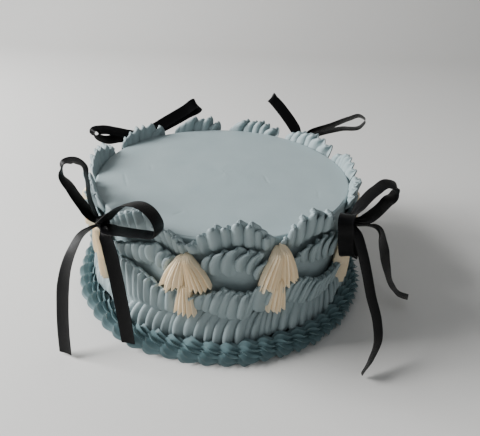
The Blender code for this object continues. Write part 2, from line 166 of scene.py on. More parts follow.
def panel_angles(panel):
    """First and last angle of a panel of piping."""
    first = TASSEL_ANGLES[panel]
    last = TASSEL_ANGLES[(panel + 1) % PANELS]
    return first, last + (360 if last < first else 0)


def closed_skin(loops):
    """Points and faces of a skin over successive closed loops, an array of (loops, corners, 3).

    Quads join neighbouring loops, and each end is closed by a fan from the middle of its loop. The
    winding is turned round where the enclosed volume, the sum of each face's corners' triple product,
    comes out negative, so the faces point outwards.
    """
    count, corners = loops.shape[:2]
    index = np.arange(count * corners).reshape(count, corners)
    beside = np.roll(index, -1, axis=1)
    quads = np.stack([index[:-1], beside[:-1], beside[1:], index[1:]], axis=-1).reshape(-1, 4)
    start, end = count * corners, count * corners + 1
    points = np.concatenate([loops.reshape(-1, 3), loops[:1].mean(1), loops[-1:].mean(1)])
    first = np.stack([index[0], np.full(corners, start), beside[0]], axis=-1)
    last = np.stack([index[-1], beside[-1], np.full(corners, end)], axis=-1)
    triangles = np.concatenate([first, last])
    middle = points.mean(0)
    halves = np.concatenate([quads[:, :3], quads[:, [0, 2, 3]], triangles])
    a, b, c = (points[halves[:, corner]] - middle for corner in range(3))
    if np.einsum("ij,ij->i", a, np.cross(b, c)).sum() < 0:
        quads, triangles = quads[:, ::-1], triangles[:, ::-1]
    return points, quads, triangles


def make_piece(name, skins, material, nodes, uv=None, sharp=None):
    """One mesh object from one or more closed skins. It rides on the cake and stands for its nodes.

    The map has one UV for each point. An edge is drawn sharp where its faces meet at more than this
    angle in degrees, and without one all are smooth.
    """
    points, faces, before = [], [], 0
    for skin_points, quads, triangles in skins:
        points.append(skin_points)
        faces.extend((quads + before).tolist())
        faces.extend((triangles + before).tolist())
        before += len(skin_points)
    mesh = bpy.data.meshes.new(name)
    mesh.from_pydata(np.concatenate(points).tolist(), [], faces)
    if uv is not None:
        layer = mesh.uv_layers.new(name="ribbon")
        corner = np.zeros(len(mesh.loops), np.int32)
        mesh.loops.foreach_get("vertex_index", corner)
        layer.data.foreach_set("uv", np.asarray(uv, np.float32)[corner].ravel())
    mesh.shade_smooth()
    if sharp:
        mesh.set_sharp_from_angle(angle=math.radians(sharp))
    mesh.materials.append(material)
    piece = bpy.data.objects.new(name, mesh)
    bpy.context.scene.collection.objects.link(piece)
    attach(piece, "root")
    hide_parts(*nodes)
    return piece


def add_node(tree, kind, inputs=None, **settings):
    """Adds one shader node. An input is a number, a colour or another node's output, which is linked."""
    node = tree.nodes.new(kind)
    for name, value in settings.items():
        setattr(node, name, value)
    for socket, value in (inputs or {}).items():
        if isinstance(value, bpy.types.NodeSocket):
            tree.links.new(value, node.inputs[socket])
        else:
            node.inputs[socket].default_value = value
    return node


def new_material(name):
    """A material of this name with an empty node tree."""
    material = bpy.data.materials.get(name) or bpy.data.materials.new(name)
    material.use_nodes = True
    material.node_tree.nodes.clear()
    return material


def buttercream(name, colour, deep, roughness=0.52):
    """Buttercream: whipped butter and sugar, smoothed or piped.

    It is soft and barely glossy, a little light passes into thin edges, its colouring is mixed in
    unevenly over a few centimetres, and fine air bubbles and sugar make it slightly grainy. The bubbles
    are drawn 1.2 mm wide, because most real ones are too fine to show.
    """
    patches, bubble, grain_depth, light_depth = 22 * MM, 1.2 * MM, 0.25 * MM, 1.5 * MM
    material = new_material(name)
    tree = material.node_tree
    place_on_cake = add_node(tree, "ShaderNodeTexCoord").outputs["Object"]
    mixing = add_node(tree, "ShaderNodeTexNoise", {"Vector": place_on_cake, "Scale": 1 / patches,
                                                   "Detail": 3.0, "Roughness": 0.55})
    tint = add_node(tree, "ShaderNodeMix", {0: mixing.outputs["Fac"], 6: (*deep, 1), 7: (*colour, 1)},
                    data_type="RGBA")
    bubbles = add_node(tree, "ShaderNodeTexNoise", {"Vector": place_on_cake, "Scale": 1 / bubble,
                                                    "Detail": 4.0, "Roughness": 0.6})
    grain = add_node(tree, "ShaderNodeBump", {"Strength": 0.35, "Distance": grain_depth,
                                              "Height": bubbles.outputs["Fac"]})
    shader = add_node(tree, "ShaderNodeBsdfPrincipled", {
        "Base Color": tint.outputs[2], "Roughness": roughness, "IOR": 1.45,
        "Subsurface Weight": 0.12, "Subsurface Radius": (1.0, 0.9, 0.8), "Subsurface Scale": light_depth,
        "Normal": grain.outputs["Normal"]})
    add_node(tree, "ShaderNodeOutputMaterial", {"Surface": shader.outputs["BSDF"]})
    return material


def polyester_satin(name, colour, edge, width):
    """Polyester satin ribbon, woven.

    Long floating threads that run along it give a soft broad sheen, and a fine line shows where the
    selvedge starts, about 1 mm from each edge. The threads are drawn 0.26 mm apart, because real ones
    are too fine to show. Across the ribbon the map's U runs from 0 to 1, and the line's distances from
    the middle are shares of the width.
    """
    thread_spacing, thread_depth = 0.2618 * MM, 0.1 * MM
    line_starts, line_ends = (0.385, 0.395), (0.415, 0.43)
    # A wave texture of scale 1 draws 20 / (2 pi) waves in one unit.
    thread_scale = width / thread_spacing * 2 * math.pi / 20
    material = new_material(name)
    tree = material.node_tree
    on_ribbon = add_node(tree, "ShaderNodeUVMap", uv_map="ribbon").outputs["UV"]
    split = add_node(tree, "ShaderNodeSeparateXYZ", {"Vector": on_ribbon})
    from_middle = add_node(tree, "ShaderNodeMath", {0: split.outputs["X"], 1: 0.5}, operation="SUBTRACT")
    distance = add_node(tree, "ShaderNodeMath", {0: from_middle.outputs[0]}, operation="ABSOLUTE")
    selvedge = add_node(tree, "ShaderNodeMapRange", {
        "Value": distance.outputs[0], "From Min": line_starts[0], "From Max": line_starts[1]})
    outside = add_node(tree, "ShaderNodeMapRange", {
        "Value": distance.outputs[0], "From Min": line_ends[0], "From Max": line_ends[1],
        "To Min": 1.0, "To Max": 0.0})
    line = add_node(tree, "ShaderNodeMath", {0: selvedge.outputs[0], 1: outside.outputs[0]},
                    operation="MULTIPLY")
    tint = add_node(tree, "ShaderNodeMix", {0: line.outputs[0], 6: (*colour, 1), 7: (*edge, 1)},
                    data_type="RGBA")
    threads = add_node(tree, "ShaderNodeTexWave", {"Vector": on_ribbon, "Scale": thread_scale,
                                                   "Distortion": 0.4, "Detail": 1.0},
                       bands_direction="X")
    height = add_node(tree, "ShaderNodeMath", {0: threads.outputs["Fac"], 1: line.outputs[0]},
                      operation="ADD")
    weave = add_node(tree, "ShaderNodeBump", {"Strength": 0.25, "Distance": thread_depth,
                                              "Height": height.outputs[0]})
    shader = add_node(tree, "ShaderNodeBsdfPrincipled", {
        "Base Color": tint.outputs[2], "Roughness": 0.38, "IOR": 1.5, "Specular IOR Level": 0.12,
        "Normal": weave.outputs["Normal"]})
    add_node(tree, "ShaderNodeOutputMaterial", {"Surface": shader.outputs["BSDF"]})
    return material


def studio_paper(name, colour):
    """Studio background paper: rolled, uncoated and matt, so it shows no gloss."""
    material = new_material(name)
    tree = material.node_tree
    shader = add_node(tree, "ShaderNodeBsdfPrincipled", {"Base Color": (*colour, 1), "Roughness": 0.9})
    add_node(tree, "ShaderNodeOutputMaterial", {"Surface": shader.outputs["BSDF"]})
    return material


def blue_icing():
    """The icing of the cake, the frills and the swags."""
    colours = bpy.context.scene.cake_colours
    return buttercream("piped_blue_buttercream", colours.blue, colours.blue_deep)


# How the petals of each row are piped. Lengths are in metres. Tips and feet: heights at a tassel and at
# the middle of a panel, and the power of the sine between. Count, shares and seed: where the petals
# aren't listed, how many a panel has, the shares of its width between which they lie, and the seed of
# their random differences. Ends: over how many half widths the foot and the tip are rounded. Peak: where
# the rounded tip ends, in half widths right of the middle line. Overlap: width over the distance to the
# next petal. Crest: where on the way to the next petal it stands out most. Slant: how far the tip lies to
# the right of the foot. Bow: how far the middle bulges to the left. Stand: how far the crest stands out,
# over which share of the height it rises from the foot, and how much of it is left at the tip. Belly:
# swelling of the middle. Lean: distance from the wall at the foot, the middle and the tip. Foot thickness:
# that of the foot over that of the tip. Cup, where there is one: depth of the hollow near the tip, its
# middle across and up, and its size across and up. Plump, where it is so: extra thickness of the middle.
TOP_PLEAT = {
    "tips": (85 * MM, 97.5 * MM, 0.8), "feet": (76 * MM, 80.5 * MM, 0.9),
    "count": 6, "shares": (0.11, 0.89), "seed": 100,
    "ends": (0.9, 1.0), "peak": -0.4, "overlap": 1.75, "crest": 0.38, "slant": -2.0 * MM, "bow": 0.3 * MM,
    "stand": (2.8 * MM, 0.45, 1.0), "belly": 0.4 * MM, "lean": (-0.4 * MM, 0.2 * MM, 3.4 * MM),
    "foot_thickness": 1.2, "cup": (1.0 * MM, 0.1, 0.95, 0.4, 0.3), "plump": 2.2 * MM,
}
PETAL = {
    "tips": (76.5 * MM, 83.5 * MM, 0.9), "feet": (56.5 * MM, 61 * MM, 0.9),
    "count": 7, "shares": (0.10, 0.96), "seed": 200,
    "ends": (2.6, 0.9), "peak": -0.25, "overlap": 1.75, "crest": 0.18, "slant": 4.2 * MM, "bow": 1.6 * MM,
    "stand": (2.8 * MM, 0.35, 1.0), "belly": 0.5 * MM, "lean": (-0.8 * MM, 1.0 * MM, 4.4 * MM),
    "foot_thickness": 1.2, "cup": (0.9 * MM, 0.1, 0.85, 0.5, 0.22),
}
UPPER_FOLD = {
    "tips": (55.5 * MM, 51.5 * MM, 0.9), "feet": (36.5 * MM, 26.5 * MM, 0.6),
    "count": 9, "shares": (0.03, 0.98), "seed": 300,
    "ends": (1.2, 1.0), "peak": -0.3, "overlap": 1.65, "crest": 0.22, "slant": 5.0 * MM, "bow": 0.8 * MM,
    "stand": (2.7 * MM, 0.3, 1.1), "belly": 0.6 * MM, "lean": (2.2 * MM, 3.0 * MM, 5.0 * MM),
    "foot_thickness": 1.5, "cup": (3.0 * MM, -0.12, 0.84, 0.40, 0.15),
}
LOWER_FOLD = {
    "tips": (41.5 * MM, 31.5 * MM, 0.6), "feet": (18.5 * MM, 4.5 * MM, 0.5),
    "count": 9, "shares": (0.0, 1.0), "seed": 400,
    "ends": (1.1, 2.0), "peak": 0.0, "overlap": 1.7, "crest": 0.14, "slant": 5.0 * MM, "bow": 1.9 * MM,
    "stand": (2.9 * MM, 0.3, 0.4), "belly": 0.5 * MM, "lean": (4.4 * MM, 5.2 * MM, -0.4 * MM),
    "foot_thickness": 1.5,
}
# For every row: the factors between which a petal's slant, bow and relief lie, the distance to the next
# petal at which the relief is as given above, and the most by which it grows with that distance. Then how
# far below the crest the left side lies, at the foot and at the tip, where the fall behind the crest ends,
# on the way to the next petal, and between which shares of the height the crest sinks to the tip.
UNEVENNESS = (0.55, 1.45)
USUAL_PITCH = 6 * MM
LARGEST_RELIEF = 1.2
LEFT_DROP = (0.75, 0.35)
FALL_END = 1.1
SINK = (0.55, 0.95)

# In the front panel and those beside it the petals follow the photo: angle of the left side, height
# of the tip and of the foot and, where it differs from the rest of the row, the slant, in millimetres.
# The last angle is where the row ends. The lower folds also cover a little bare wall under the tassels.
TOP_PLEATS = {
    0: ((-49.5, 86, 74.5), (-45, 90, 74), (-41.5, 93, 74), (-38, 96, 74.5), (-34.8, 99.5, 76),
        (-31.2, 101.5, 77.5), (-27.8, 101.5, 78.5), (-24.6, 94, 77.5), (-22, 91.5, 76),
        (-19.6, 92, 74), (-17.2, 89, 73), (-15, 85, 72.5), (-13,)),
    1: ((-12, 86, 76), (-8.6, 93, 75.5), (-5, 98.8, 78), (-0.4, 99, 79.5), (3.2, 102.2, 80.5),
        (7.4, 100.6, 79.5), (11.2, 96, 78.5), (14.2, 91, 77.5), (17.2,)),
    2: ((21.6, 87, 77.5), (23.9, 94.5, 76), (27, 99.5, 75), (31, 102, 77), (35.6, 98, 78), (39.6, 96, 78),
        (44, 90, 77), (48,)),
}
PETALS = {
    0: ((-48.5, 69, 56.5), (-44.5, 72, 56), (-41, 73.5, 57), (-37.5, 75.5, 56.5), (-34, 78, 57),
        (-30.5, 79.5, 59), (-27.2, 81.5, 62), (-23.6, 78, 59), (-20.8, 75, 57.5), (-18, 73, 57), (-15,)),
    1: ((-6.6, 79.6, 61.6), (-3.6, 82.8, 59.8), (0.6, 85, 59.4), (5.4, 82.3, 63), (9.7, 80, 60.5),
        (12.6, 73, 55), (16,)),
    2: ((25.5, 73, 60, 1), (30.2, 77, 60, -2), (35.2, 78.5, 57, -3.5), (39.2, 79.5, 54.5, -4),
        (43.6, 78, 52.5, -4), (48.4, 75, 51, -4), (53.6,)),
}
UPPER_FOLDS = {
    0: ((-52.2, 62.5, 37), (-48.5, 62, 34), (-45, 61, 30), (-41.8, 60.5, 26), (-38.6, 60, 23.5),
        (-35.4, 58.5, 24.5), (-32.4, 56, 26.5), (-29.4, 54, 27), (-26.4, 50.5, 26.5), (-23.4, 50, 27),
        (-20.2, 50.5, 27.5), (-16.8, 52, 29.5), (-13.4,)),
    1: ((-13, 48, 35.5), (-9.6, 49.5, 34.5), (-6.2, 52, 33), (-2.9, 54.7, 31.2), (0.2, 52.8, 28.1),
        (3, 51.2, 26.5), (6.8, 51.2, 26.5), (10.2, 54.4, 28.2), (12.2, 57.5, 31), (17.5, 53, 35), (21,)),
    2: ((21.2, 56, 36), (24.6, 54, 35), (27.5, 53, 33.5), (30.2, 52, 31), (32.8, 49.5, 28.5),
        (35.4, 46.5, 26.5), (38, 45, 25.5), (40.8, 44.5, 25), (43.6, 44.5, 25), (47.2, 45.5, 26),
        (50.6, 47.5, 28), (54.4, 51, 31), (57.6, 55, 34), (60.5,)),
}
LOWER_FOLDS = {
    0: ((-52.2, 34, 14), (-48.5, 33, 11), (-45.6, 31, 6), (-42, 29, 3), (-39, 29, 1.5), (-35.8, 30, 1),
        (-32.4, 31, 1), (-28.6, 31, 1), (-25.2, 30.5, 2.5), (-21.4, 31, 4.5), (-18.6, 31.5, 6),
        (-16.6, 33, 8), (-13,)),
    1: ((-12.7, 33, 9), (-8.2, 34, 7), (-5, 32, 6), (-1.5, 31, 5), (2.4, 30.5, 4.5), (6.8, 30, 4),
        (10.8, 30, 4.5), (13.4, 31.5, 6.5), (16.2, 33.5, 8), (18.9, 35, 10), (21.2,)),
    2: ((21.4, 40, 11), (24.2, 37, 10), (28, 34, 8), (33.8, 32, 6), (38.2, 30, 4.5), (42, 29, 4.5),
        (45.5, 29.5, 5), (49, 30, 6.5), (52.5, 32, 9), (56, 34, 12), (59, 36, 15), (61.5,)),
}


def petal_skin(left, pitch, tip, foot, slant, shape, thickness):
    """One piped petal, fold or pleat: a curved sheet with an outline that is rounded at both ends.

    Up it v runs from 0 to 1, and across it u from -1 on the left to 1. Its half width follows an
    ellipse at each end. Its middle line goes right with slant * v, bulges left with the sine of pi v,
    and turns towards the peak, with a square, where the tip is rounded. Off the wall it stands by its
    lean, a quadratic curve in v, plus a rise that is highest at its crest and falls as a cosine until
    the next petal, plus belly * (1 - u^2) * sin(pi v), less a round hollow, the cup. Both faces are this
    sheet moved by half the thickness along its normal, the cross product of the directions up and across.
    The thickness runs to nothing at the sides with the root of 1 - u^6, and at the ends it thins with the
    outline.
    """
    rows, columns, first_row, last_row, most_rounded = 22, 21, 0.03, 0.98, 0.9
    v = 0.5 - 0.5 * np.cos(np.pi * np.linspace(first_row, last_row, rows))[:, None]
    u = np.sin(0.5 * np.pi * np.linspace(-1, 1, columns))[None]
    widest = 0.5 * shape["overlap"] * pitch
    foot_end, tip_end = (min(share * widest / (tip - foot), most_rounded) for share in shape["ends"])
    in_foot = np.clip(1 - v / foot_end, 0, 1) ** 2
    in_tip = np.clip(1 - (1 - v) / tip_end, 0, 1) ** 2
    outline = np.sqrt((1 - in_foot) * (1 - in_tip))
    draws = np.random.default_rng(int(1e4 * abs(left))).random(3)
    least, most = UNEVENNESS
    slant_factor, bow_factor, relief_factor = least + (most - least) * draws
    bow = bow_factor * shape["bow"] * np.sin(np.pi * v)
    middle_line = widest + slant_factor * slant * (v - 0.5) - bow + shape["peak"] * widest * in_tip
    across = middle_line + widest * outline * u
    size = relief_factor * min(pitch / USUAL_PITCH, LARGEST_RELIEF)
    inward = 0.5 * (1 + u) * shape["overlap"]
    crest = shape["crest"]
    drop = LEFT_DROP[0] + (LEFT_DROP[1] - LEFT_DROP[0]) * v
    rounding = drop * np.clip(1 - inward / crest, 0, 1) ** 2
    fall = np.cos(np.pi * np.clip((inward - crest) / (FALL_END - crest), 0, 1))
    rise = np.where(inward < crest, 1 - rounding, 0.5 + 0.5 * fall)
    lean_foot, lean_middle, lean_tip = shape["lean"]
    lean = lean_foot * (1 - v) ** 2 + 2 * lean_middle * v * (1 - v) + lean_tip * v ** 2
    hollow = 0.0
    if "cup" in shape:
        deep, cup_u, cup_v, wide, high = shape["cup"]
        hollow = deep * np.exp(-((u - cup_u) / wide) ** 2 - ((v - cup_v) / high) ** 2)
    most_stand, rising, left_at_tip = shape["stand"]
    sunk = (1 - left_at_tip) * smooth_step((v - SINK[0]) / (SINK[1] - SINK[0]))
    stand = most_stand * smooth_step(v / rising + 0.1) * (1 - sunk)
    belly = shape["belly"] * (1 - u ** 2) * np.sin(np.pi * v)
    off = lean + size * (stand * rise + belly - hollow)
    sheet = place(left + np.degrees(across / WALL), WALL + off, foot + (tip - foot) * v)
    normal = np.cross(np.gradient(sheet, axis=0), np.gradient(sheet, axis=1))
    normal /= np.linalg.norm(normal, axis=-1, keepdims=True) + 1e-12
    thick = thickness * (shape["foot_thickness"] + (1 - shape["foot_thickness"]) * v)
    thick = thick + size * shape.get("plump", 0) * (1 - u ** 2) * smooth_step(2 * v) * (1 - 0.4 * v)
    thick = thick * np.sqrt(1 - u ** 6) * np.clip(3 * outline, 0, 1) ** 0.5
    shift = 0.5 * thick[..., None] * normal
    return closed_skin(np.concatenate([sheet - shift, (sheet + shift)[:, -2:0:-1]], axis=1))


def row_of_petals(panel, shape, listed, thickness):
    """Skins of one row's petals in one panel.

    Where they aren't listed one by one, their widths differ from the mean by up to 30%, and tip and foot
    follow the panel's arch with small differences of their own.
    """
    if panel in listed:
        petals = listed[panel]
        lefts = np.array([petal[0] for petal in petals], float)
        tip_heights = np.array([petal[1] for petal in petals[:-1]]) * MM
        foot_heights = np.array([petal[2] for petal in petals[:-1]]) * MM
        slants = [petal[3] * MM if len(petal) > 3 else shape["slant"] for petal in petals[:-1]]
    else:
        draw = np.random.default_rng(shape["seed"] + panel)
        count = shape["count"]
        width_range, tip_range, foot_range = 0.6, 3 * MM, 2 * MM
        widths = 1 + width_range * (draw.random(count) - 0.5)
        first, last = shape["shares"]
        shares = first + (last - first) * np.concatenate([[0], np.cumsum(widths) / widths.sum()])
        start, end = panel_angles(panel)
        lefts = start + (end - start) * shares
        middle = 0.5 * (shares[:-1] + shares[1:])
        tip_heights = arch(shape["tips"], middle) + tip_range * (draw.random(count) - 0.5)
        foot_heights = arch(shape["feet"], middle) + foot_range * (draw.random(count) - 0.5)
        slants = [shape["slant"]] * count
    pitches = np.radians(np.diff(lefts)) * WALL
    return [petal_skin(*petal, shape, thickness)
            for petal in zip(lefts[:-1], pitches, tip_heights, foot_heights, slants)]


# Angles in degrees past which an edge is drawn sharp: between the fins of a star tip, and on ribbon.
SHARP_FINS = 55
SHARP_RIBBON = 60


class CAKE_OT_icing(bpy.types.Operator):
    """Make the smoothed icing of the cake itself."""
    bl_idname = "cake.icing"
    bl_label = "Smooth icing"

    def execute(self, context):
        sizes = context.scene.cake_sizes
        rounding = sizes.rim_rounding
        sides, wall_rows, rim_rows, top_rows = 480, 20, 12, 120
        # The profile runs up the wall, round the rim and over the top almost to its middle.
        turn = np.linspace(0, 0.5 * np.pi, rim_rows)
        wall = np.linspace(0, CAKE_HEIGHT - rounding, wall_rows)[:-1]
        inward = np.linspace(CAKE_RADIUS - rounding, 1 * MM, top_rows)[1:]
        radius = np.concatenate([np.full(len(wall), CAKE_RADIUS),
                                 CAKE_RADIUS - rounding * (1 - np.cos(turn)), inward])
        height = np.concatenate([wall, CAKE_HEIGHT - rounding * (1 - np.sin(turn)),
                                 np.full(len(inward), CAKE_HEIGHT)])
        angle = 360 * np.arange(sides)[None] / sides
        radius, height = radius[:, None], height[:, None]
        # Spatula marks: products of two sine waves, one finer, which the turning of the cake under the
        # palette knife makes into a swirl on top. On the wall they fade to nothing at its foot.
        on_top = smooth_step((height - CAKE_HEIGHT + rounding) / rounding)
        finer, slower = TOP_WAVES
        swirl = (np.sin(radius / finer + TOP_WAVE_TURN * angle)
                 * np.sin(np.radians(2 * angle + 40) + radius / slower))
        height = height + on_top * sizes.spatula_relief * (0.5 * swirl - 0.5)
        wobble = WALL_WAVE_DEPTH * np.sin(np.radians(WALL_WAVES * angle)) * np.sin(height / WALL_WAVE_LENGTH)
        above_foot = smooth_step(height / WALL_WAVE_START)
        on_wall = radius > CAKE_RADIUS - rounding
        points = place(angle, radius + wobble * above_foot * on_wall, height)
        # Each nick is a groove along a short line: a Gaussian across it, and exp(-x^4) along it.
        for x, y, direction, length, depth in SPATULA_NICKS:
            turn = math.radians(direction)
            ahead = (points[..., 0] - x * MM) * math.cos(turn) + (points[..., 1] - y * MM) * math.sin(turn)
            aside = (points[..., 1] - y * MM) * math.cos(turn) - (points[..., 0] - x * MM) * math.sin(turn)
            groove = np.exp(-(2 * ahead / (length * MM)) ** 4 - (aside / NICK_HALF_WIDTH) ** 2)
            points[..., 2] -= on_top * depth * MM * groove
        make_piece("iced_cake_icing", [closed_skin(points)], blue_icing(),
                   ["iced_cake"])
        return {"FINISHED"}


def make_panels(pieces, node, shape, listed, thickness):
    """Makes one piece for each panel of a row of piping."""
    icing = blue_icing()
    for panel in range(PANELS):
        number = f"{panel + 1:02d}"
        make_piece(f"{pieces}_{number}", row_of_petals(panel, shape, listed, thickness), icing,
                   [f"{node}_{number}"])


class CAKE_OT_top_frills(bpy.types.Operator):
    """Pipe the frills that stand up past the rim and lean out in deep pleats."""
    bl_idname = "cake.top_frills"
    bl_label = "Top frills"

    def execute(self, context):
        make_panels("top_frill_pleats", "top_frill", TOP_PLEAT, TOP_PLEATS,
                    context.scene.cake_sizes.frill_thickness)
        return {"FINISHED"}


class CAKE_OT_second_frills(bpy.types.Operator):
    """Pipe the upright petals under the top frills, each from a narrow tail to a rounded tip."""
    bl_idname = "cake.second_frills"
    bl_label = "Second frills"

    def execute(self, context):
        make_panels("second_frill_petals", "second_frill", PETAL, PETALS,
                    context.scene.cake_sizes.frill_thickness)
        return {"FINISHED"}


class CAKE_OT_upper_swags(bpy.types.Operator):
    """Pipe the hanging swags: folds whose free top edge curls over a hollow, with lobes below."""
    bl_idname = "cake.upper_swags"
    bl_label = "Upper swags"

    def execute(self, context):
        make_panels("upper_swag_folds", "upper_swag", UPPER_FOLD, UPPER_FOLDS,
                    context.scene.cake_sizes.swag_thickness)
        return {"FINISHED"}


class CAKE_OT_lower_swags(bpy.types.Operator):
    """Pipe the lower swags: wide folds that bow to one side and meet behind the tassels."""
    bl_idname = "cake.lower_swags"
    bl_label = "Lower swags"

    def execute(self, context):
        thickness, icing = context.scene.cake_sizes.swag_thickness, blue_icing()
        front_panels = 6
        for half, panels in (("front", range(front_panels)), ("back", range(front_panels, PANELS))):
            skins = [skin for panel in panels
                     for skin in row_of_petals(panel, LOWER_FOLD, LOWER_FOLDS, thickness)]
            make_piece(f"lower_swag_folds_{half}", skins, icing, ["lower_swags"])
        return {"FINISHED"}


def swag_depth(angle):
    """How low the swags hang at an angle: 0 at a tassel, 1 at the middle of a panel."""
    for panel in range(PANELS):
        first, last = panel_angles(panel)
        turned = first + (angle - first) % 360
        if turned < last:
            return math.sin(math.pi * (turned - first) / (last - first))
    raise ValueError(f"no panel of piping at {angle} degrees")


# A shell: its length, how much of that lies behind its place, the radius of its fins, that of the hollows
# between them as a share of it, how many fins, and the factors between which the shells' sizes lie.
SHELL_LENGTH = 19 * MM
SHELL_BEHIND = 6.5 * MM
SHELL_RADIUS = 9.6 * MM
SHELL_CORE = 0.5
SHELL_FINS = 11
SHELL_SIZES = (0.93, 1.07)
# Radii of the shell's axis round the cake, at the tail and, further out, at the head, and the radius at
# which its length is measured. The axis starts at this height and comes down by the drop.
SHELL_TAIL_AXIS = CAKE_RADIUS + 10.4 * MM
SHELL_HEAD_AXIS = CAKE_RADIUS + 11.9 * MM
SHELL_MEASURE = CAKE_RADIUS + 11 * MM
SHELL_HEIGHT = 6.8 * MM
SHELL_DROP = 2.4 * MM
# Under the middle of a panel, where the swags hang lowest, a shell is slimmer, lies further out and sits
# lower, each by so much.
SHELL_UNDER_SWAG = (0.6 * MM, 1.5 * MM, 0.5 * MM)
# Share of the length over which the head is round, where the taper starts, and how much slimmer it ends.
SHELL_HEAD = 0.3
SHELL_TAPER_START = 0.2
SHELL_TAPER = 0.5
# Turn of the fins in radians: evenly along the shell, what the head adds, and the most that is random.
SHELL_TWIST = (0.2, 0.9)
SHELL_RANDOM_TURN = 0.7
SHELL_SEED = 700


def shell_skin(shell):
    """One star-tip shell: a finned cone that lies along the foot, from a round head to a narrower tail.

    Its radius follows a circle from the pole of the head and then tapers with a smooth step towards
    the tail, which dives under the next head. In cross-section sharp fins stand between hollows: with
    the angle times half the number of fins, it is core + (1 - core) * (1 - |sin|). The mesh follows
    the fins, which turn along the axis, most of all over the head. What would go below the cake's
    underside is flattened there.
    """
    draw = np.random.default_rng(SHELL_SEED + shell)
    steps, per_fin, first_share = 26, 6, 0.02
    slimmer, further, lower = SHELL_UNDER_SWAG
    angle = 360 * (shell + 0.5) / SHELLS
    depth = swag_depth(angle)
    share = 0.5 - 0.5 * np.cos(np.pi * np.linspace(first_share, 1, steps))
    size = SHELL_SIZES[0] + (SHELL_SIZES[1] - SHELL_SIZES[0]) * draw.random()
    along = (SHELL_LENGTH * share - SHELL_BEHIND) * size
    head = np.sqrt(1 - (1 - np.clip(share / SHELL_HEAD, 0, 1)) ** 2)
    taper = head * (1 - SHELL_TAPER * smooth_step((share - SHELL_TAPER_START) / (1 - SHELL_TAPER_START)))
    radius = (SHELL_RADIUS - slimmer * depth) * size * taper
    axis_radius = SHELL_HEAD_AXIS + (SHELL_TAIL_AXIS - SHELL_HEAD_AXIS) * share + further * depth
    axis_height = SHELL_HEIGHT - lower * depth - SHELL_DROP * share
    phase = 2 * np.pi * np.arange(SHELL_FINS * per_fin) / (SHELL_FINS * per_fin)
    twist = SHELL_TWIST[0] * (1 - share) + SHELL_TWIST[1] * (1 - share) ** 4
    around = phase[None] + (twist + SHELL_RANDOM_TURN * draw.random())[:, None]
    peak = 1 - np.abs(np.sin(0.5 * SHELL_FINS * phase))
    fin = SHELL_CORE + (1 - SHELL_CORE) * peak
    out = radius[:, None] * np.cos(around) * fin
    side = radius[:, None] * np.sin(around) * fin
    # The head leans back towards its upper side, and its fins reach back further than the hollows.
    lean_back, reach_back = 0.35, 2.2 * MM
    where = along[:, None] + (1 - share[:, None]) ** 3 * (lean_back * side - reach_back * peak)
    height = np.maximum(axis_height[:, None] + side, 0.0)
    turned = angle + np.degrees(where / SHELL_MEASURE)
    return closed_skin(place(turned, axis_radius[:, None] + out, height))


class CAKE_OT_shells(bpy.types.Operator):
    """Pipe the border of star-tip shells round the foot."""
    bl_idname = "cake.shells"
    bl_label = "Shell border"

    def execute(self, context):
        colours = context.scene.cake_colours
        teal = buttercream("piped_teal_buttercream", colours.teal, colours.teal_deep)
        make_piece("shell_border_shells", [shell_skin(shell) for shell in range(SHELLS)], teal,
                   ["shell_border"], sharp=SHARP_FINS)
        return {"FINISHED"}


# A tassel's fans of ridges: how far to the right and below the tassel's top each starts, directions of
# its left and right side in degrees from straight down, length, ridges, and how far it stands out.
TASSEL_FANS = (
    (0.3 * MM, 20 * MM, (-15, 12), 29 * MM, 5, 6.8 * MM),
    (-0.9 * MM, 1.2 * MM, (-33, -1), 30 * MM, 6, 7.2 * MM),
    (1.0 * MM, 0.0, (2, 37), 30 * MM, 6, 7.6 * MM),
)
# Depth of the groove between two ridges, half width of a fan where it starts, the share of its length
# over which it widens there and over which it is rounded at its end, the share of a line's slant that is
# lost by its end, and how much the ridges differ in length and, in degrees, in direction.
GROOVE_DEPTH = 3 * MM
FAN_START = 2.2 * MM
FAN_WIDENING = 0.14
FAN_END = 0.09
FAN_BEND = 0.6
RIDGE_LENGTHS = 0.16
RIDGE_WANDER = 5
TASSEL_SEED = 800


